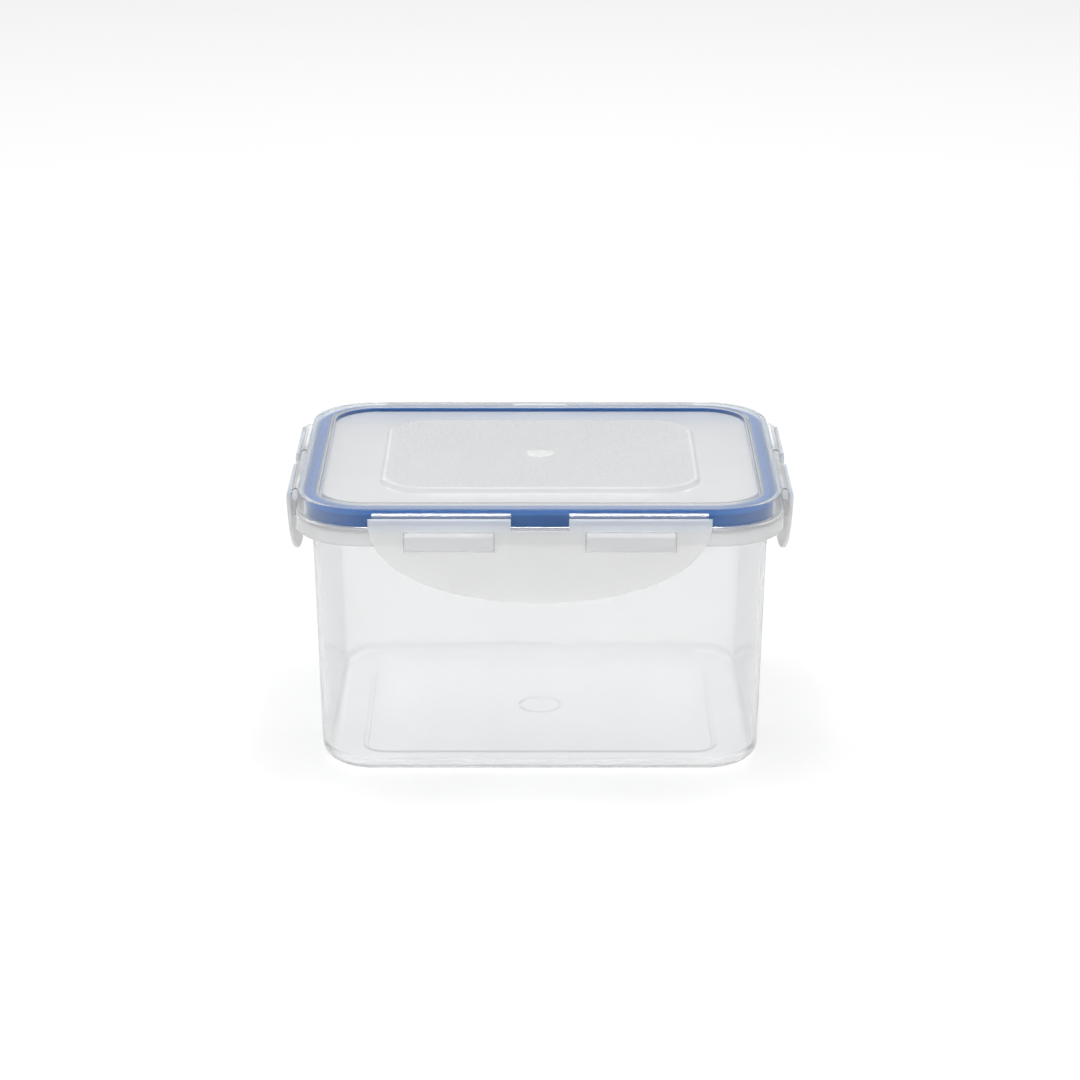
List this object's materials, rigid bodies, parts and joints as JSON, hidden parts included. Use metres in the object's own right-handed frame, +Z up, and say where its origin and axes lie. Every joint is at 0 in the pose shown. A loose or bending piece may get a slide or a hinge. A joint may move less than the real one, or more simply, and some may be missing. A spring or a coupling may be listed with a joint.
{
  "type": "snap lid food container",
  "caption": "Clear rectangular food container with a frosted press-on lid, a blue silicone gasket and a slotted lock flap on every side.",
  "frame": {"origin": "on the surface the container stands on, below its centre", "axes": "+X along the container's length, -Y towards the front flap, +Z up"},
  "size_m": [0.159, 0.125, 0.0894],
  "materials": {
    "clear_polypropylene": "clear, slightly milky, glossy moulded",
    "frosted_polypropylene": "frosted translucent, satin",
    "film_hinge_polypropylene": "thin, drawn clear by folding",
    "blue_silicone": "smooth silicone rubber"
  },
  "bodies": {
    "container": {"container_body": "clear_polypropylene"},
    "lid": {"lid_cover": "frosted_polypropylene", "seal_gasket": "blue_silicone"},
    "front_film": {"front_film_left": "film_hinge_polypropylene", "front_film_right": "film_hinge_polypropylene"},
    "front_lock": {"front_flap": "frosted_polypropylene"},
    "right_film": {"right_film_front": "film_hinge_polypropylene", "right_film_rear": "film_hinge_polypropylene"},
    "right_lock": {"right_flap": "frosted_polypropylene"},
    "rear_film": {"rear_film_right": "film_hinge_polypropylene", "rear_film_left": "film_hinge_polypropylene"},
    "rear_lock": {"rear_flap": "frosted_polypropylene"},
    "left_film": {"left_film_rear": "film_hinge_polypropylene", "left_film_front": "film_hinge_polypropylene"},
    "left_lock": {"left_flap": "frosted_polypropylene"}
  },
  "joints": [
    {"name": "lid_lift", "type": "slide", "parent": "container", "child": "lid", "axis": [0, 0, 1], "range_m": [0, 0.0075]},
    {"name": "front_film_fold", "type": "hinge", "parent": "lid", "child": "front_film", "pos_m": [0, -0.0592, 0.0882], "axis": [-1, 0, 0], "range_deg": [0, 90]},
    {"name": "front_flap_hinge", "type": "hinge", "parent": "front_film", "child": "front_lock", "pos_m": [0, -0.06155, 0.08685], "axis": [-1, 0, 0], "range_deg": [0, 90]},
    {"name": "right_film_fold", "type": "hinge", "parent": "lid", "child": "right_film", "pos_m": [0.0762, 0, 0.0882], "axis": [0, -1, 0], "range_deg": [0, 90]},
    {"name": "right_flap_hinge", "type": "hinge", "parent": "right_film", "child": "right_lock", "pos_m": [0.07855, 0, 0.08685], "axis": [0, -1, 0], "range_deg": [0, 90]},
    {"name": "rear_film_fold", "type": "hinge", "parent": "lid", "child": "rear_film", "pos_m": [0, 0.0592, 0.0882], "axis": [1, 0, 0], "range_deg": [0, 90]},
    {"name": "rear_flap_hinge", "type": "hinge", "parent": "rear_film", "child": "rear_lock", "pos_m": [0, 0.06155, 0.08685], "axis": [1, 0, 0], "range_deg": [0, 90]},
    {"name": "left_film_fold", "type": "hinge", "parent": "lid", "child": "left_film", "pos_m": [-0.0762, 0, 0.0882], "axis": [0, 1, 0], "range_deg": [0, 90]},
    {"name": "left_flap_hinge", "type": "hinge", "parent": "left_film", "child": "left_lock", "pos_m": [-0.07855, 0, 0.08685], "axis": [0, 1, 0], "range_deg": [0, 90]}
  ],
  "couplings": [
    {"joint": "front_film_fold", "follows": "lid_lift", "rad_per_m": 209.44},
    {"joint": "right_film_fold", "follows": "lid_lift", "rad_per_m": 209.44},
    {"joint": "rear_film_fold", "follows": "lid_lift", "rad_per_m": 209.44},
    {"joint": "left_film_fold", "follows": "lid_lift", "rad_per_m": 209.44}
  ]
}
